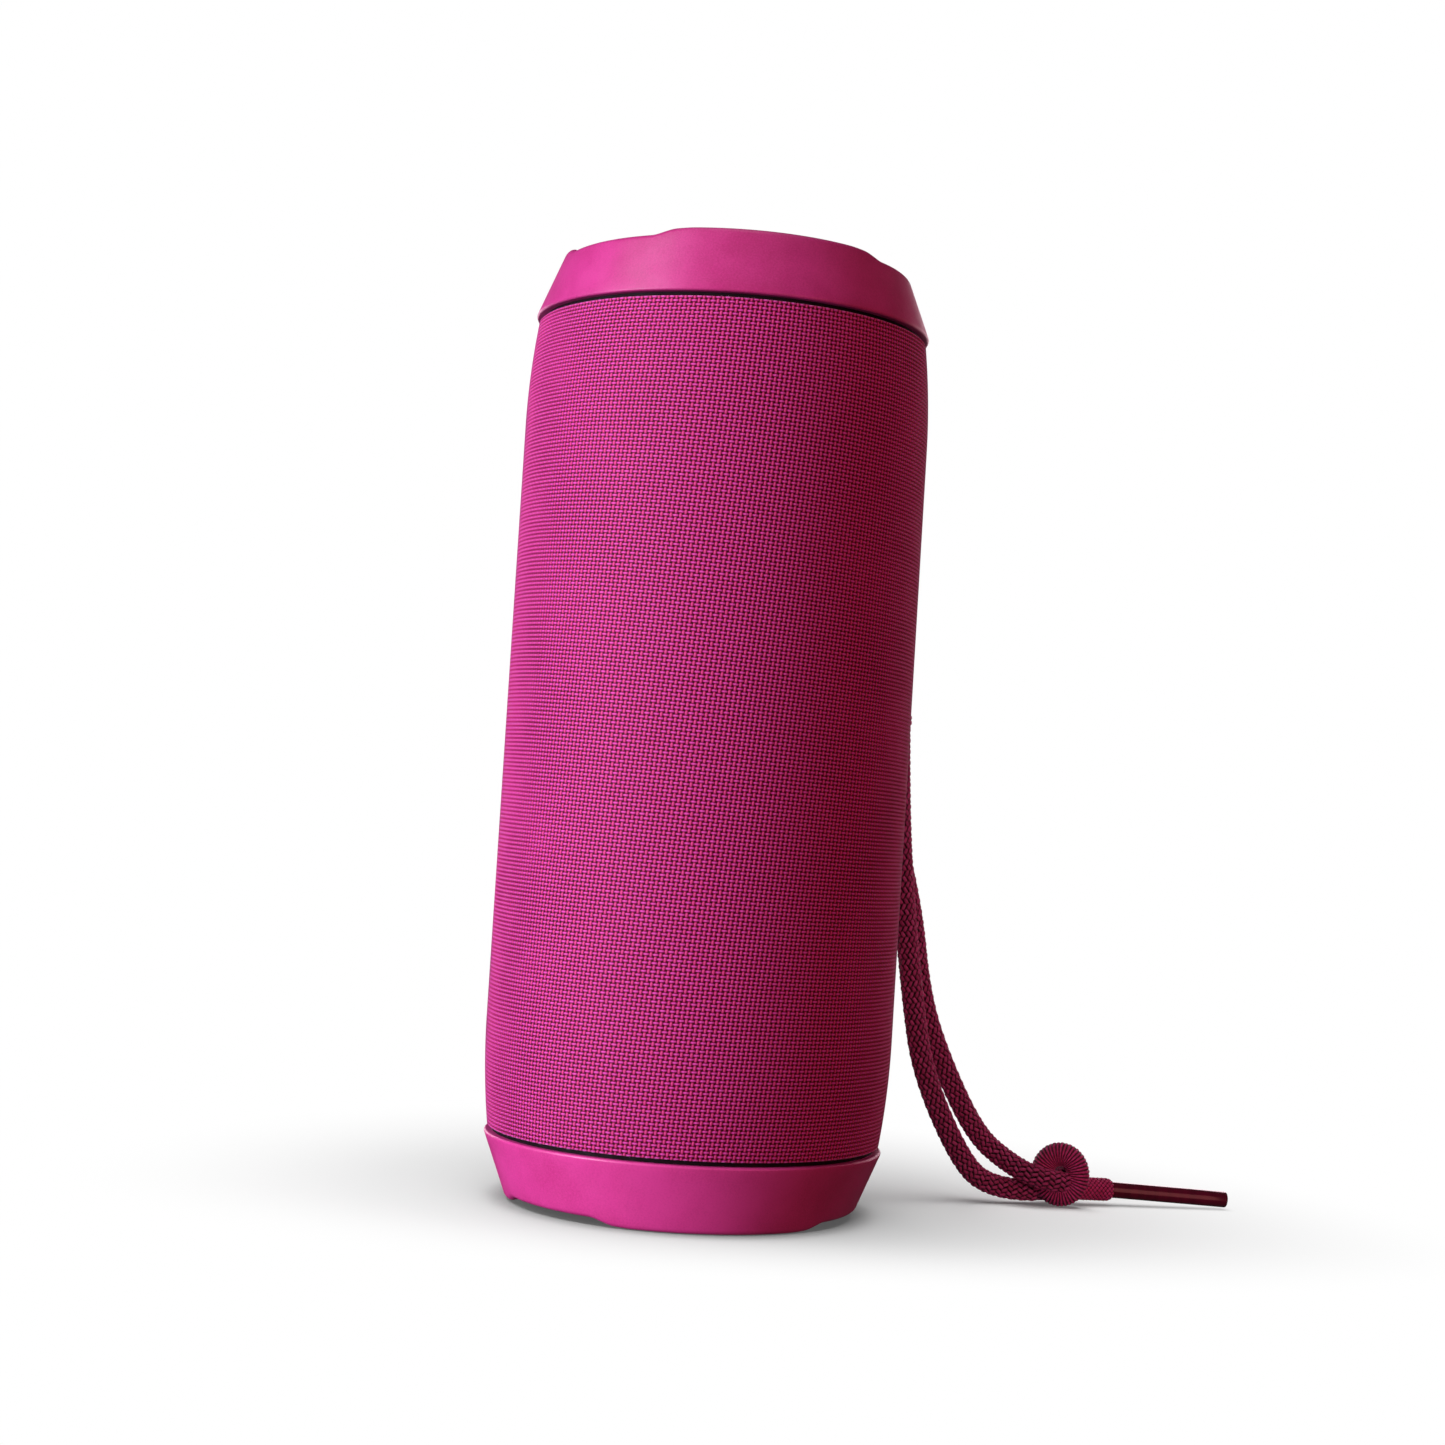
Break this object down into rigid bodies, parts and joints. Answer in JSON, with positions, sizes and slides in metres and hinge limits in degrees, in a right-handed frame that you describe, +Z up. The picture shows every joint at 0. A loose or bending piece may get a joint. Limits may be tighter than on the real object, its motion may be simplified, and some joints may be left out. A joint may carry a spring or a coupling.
{
  "type": "portable bluetooth speaker",
  "caption": "Upright cylindrical portable speaker with a woven fabric sleeve, lobed end caps, passive radiators, a rear control strip and a braided wrist strap.",
  "frame": {"origin": "centre of the base, on the plane the feet of the lower cap stand on", "axes": "+Z up along the cylinder, -Y the side the drivers face, +Y the control strip and strap"},
  "size_m": [0.0774, 0.1562, 0.18],
  "materials": {
    "cap_plastic": "fine moulded grain, satin",
    "seal_rubber": "matt",
    "sleeve_fabric": "coarse woven, soft sheen",
    "grille_plastic": "matt",
    "chassis_plastic": "matt",
    "strip_rubber": "soft matt",
    "button_rubber": "soft satin",
    "steel": "plain",
    "strap_cord": "braided",
    "strap_collar": "woven",
    "strap_rod": "glossy",
    "battery_wrap": "shrink wrap",
    "circuit_board": "solder mask",
    "chip_plastic": "matt",
    "port_metal": "satin",
    "light_pipe": "frosted",
    "surround_rubber": "satin",
    "radiator_plate": "satin",
    "painted_steel": "satin",
    "magnet_steel": "zinc plated",
    "cone_pulp": "fibrous",
    "copper_wire": "enamelled"
  },
  "bodies": {
    "housing": {"audio_jack": "chip_plastic", "battery_cells": "battery_wrap", "battery_cradle": "chassis_plastic", "board_chips": "chip_plastic", "board_screws": "steel", "bottom_cap": "cap_plastic", "bottom_cap_seal": "seal_rubber", "bottom_radiator_frame": "chassis_plastic", "bottom_radiator_screws": "steel", "bottom_radiator_surround": "surround_rubber", "button_board": "circuit_board", "charge_port": "port_metal", "chassis_front": "chassis_plastic", "chassis_rear": "chassis_plastic", "control_strip": "strip_rubber", "cover_pin": "steel", "driver_screws": "steel", "fabric_sleeve": "sleeve_fabric", "grille_sleeve": "grille_plastic", "lower_driver_basket": "painted_steel", "lower_driver_gasket": "seal_rubber", "lower_driver_magnet": "magnet_steel", "lower_driver_surround": "surround_rubber", "main_board": "circuit_board", "status_lights": "light_pipe", "strap_bar": "steel", "strap_collar": "strap_collar", "strap_hitch": "strap_cord", "strap_knot": "strap_cord", "strap_rod": "strap_rod", "strap_strand_a": "strap_cord", "strap_strand_b": "strap_cord", "strip_screws": "steel", "tact_switches": "chip_plastic", "top_cap": "cap_plastic", "top_cap_seal": "seal_rubber", "top_radiator_frame": "chassis_plastic", "top_radiator_screws": "steel", "top_radiator_surround": "surround_rubber", "upper_driver_basket": "painted_steel", "upper_driver_gasket": "seal_rubber", "upper_driver_magnet": "magnet_steel", "upper_driver_surround": "surround_rubber"},
    "top_radiator": {"top_radiator_plate": "radiator_plate", "top_radiator_weight": "steel"},
    "bottom_radiator": {"bottom_radiator_plate": "radiator_plate", "bottom_radiator_weight": "steel"},
    "upper_cone": {"upper_driver_cone": "cone_pulp", "upper_voice_coil": "copper_wire"},
    "lower_cone": {"lower_driver_cone": "cone_pulp", "lower_voice_coil": "copper_wire"},
    "cover": {"port_cover": "strip_rubber", "port_gasket": "seal_rubber"},
    "power_key": {"power_button": "button_rubber"},
    "pairing_key": {"pairing_button": "button_rubber"},
    "volume_down_key": {"volume_down_button": "button_rubber"},
    "play_key": {"play_button": "button_rubber"},
    "volume_up_key": {"volume_up_button": "button_rubber"}
  },
  "joints": [
    {"name": "top_radiator_travel", "type": "slide", "parent": "housing", "child": "top_radiator", "axis": [0, 0, 1], "range_m": [-0.0018, 0.0018], "stiffness_N_per_m": 2500, "deforming": ["top_radiator_surround"]},
    {"name": "bottom_radiator_travel", "type": "slide", "parent": "housing", "child": "bottom_radiator", "axis": [0, 0, 1], "range_m": [-0.0018, 0.0018], "stiffness_N_per_m": 2500, "deforming": ["bottom_radiator_surround"]},
    {"name": "upper_cone_travel", "type": "slide", "parent": "housing", "child": "upper_cone", "axis": [0, -1, 0], "range_m": [-0.0008, 0.0008], "stiffness_N_per_m": 2500},
    {"name": "lower_cone_travel", "type": "slide", "parent": "housing", "child": "lower_cone", "axis": [0, -1, 0], "range_m": [-0.0008, 0.0008], "stiffness_N_per_m": 2500},
    {"name": "cover_hinge", "type": "hinge", "parent": "housing", "child": "cover", "pos_m": [0, 0.0368, 0.1222], "axis": [1, 0, 0], "range_deg": [0, 95]},
    {"name": "power_press", "type": "slide", "parent": "housing", "child": "power_key", "axis": [0, -1, 0], "range_m": [0, 0.0005], "stiffness_N_per_m": 1500},
    {"name": "pairing_press", "type": "slide", "parent": "housing", "child": "pairing_key", "axis": [0, -1, 0], "range_m": [0, 0.0005], "stiffness_N_per_m": 1500},
    {"name": "volume_down_press", "type": "slide", "parent": "housing", "child": "volume_down_key", "axis": [0, -1, 0], "range_m": [0, 0.0005], "stiffness_N_per_m": 1500},
    {"name": "play_press", "type": "slide", "parent": "housing", "child": "play_key", "axis": [0, -1, 0], "range_m": [0, 0.0005], "stiffness_N_per_m": 1500},
    {"name": "volume_up_press", "type": "slide", "parent": "housing", "child": "volume_up_key", "axis": [0, -1, 0], "range_m": [0, 0.0005], "stiffness_N_per_m": 1500}
  ]
}
